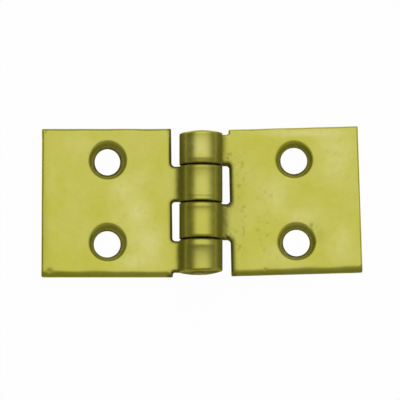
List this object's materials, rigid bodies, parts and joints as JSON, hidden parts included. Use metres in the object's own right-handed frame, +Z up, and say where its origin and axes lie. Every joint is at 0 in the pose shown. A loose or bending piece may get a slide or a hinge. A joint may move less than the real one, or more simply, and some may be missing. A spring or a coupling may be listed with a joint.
{
  "type": "flap hinge",
  "caption": "Small brass flap hinge lying open: flat leaves with rolled knuckles turn on a plain pin, with countersunk screw holes.",
  "frame": {"origin": "middle of the opened hinge's footprint, on the plane that both leaf backs lie on, straight below the pin's centre line", "axes": "+X across the leaves towards the right leaf, +Y along the pin, +Z up, out of the faces with the countersinks and the barrel"},
  "size_m": [0.0546, 0.0258, 0.0073],
  "materials": {
    "leaf_brass": "tumbled yellow brass, softly polished, a little worn and pitted",
    "pin_brass": "plain drawn brass, dull"
  },
  "bodies": {
    "left": {"left_leaf": "leaf_brass", "hinge_pin": "pin_brass"},
    "right": {"right_leaf": "leaf_brass"}
  },
  "joints": [
    {"name": "leaf_fold", "type": "hinge", "parent": "left", "child": "right", "pos_m": [0, 0, 0.00367], "axis": [0, -1, 0], "range_deg": [-95, 180]}
  ]
}
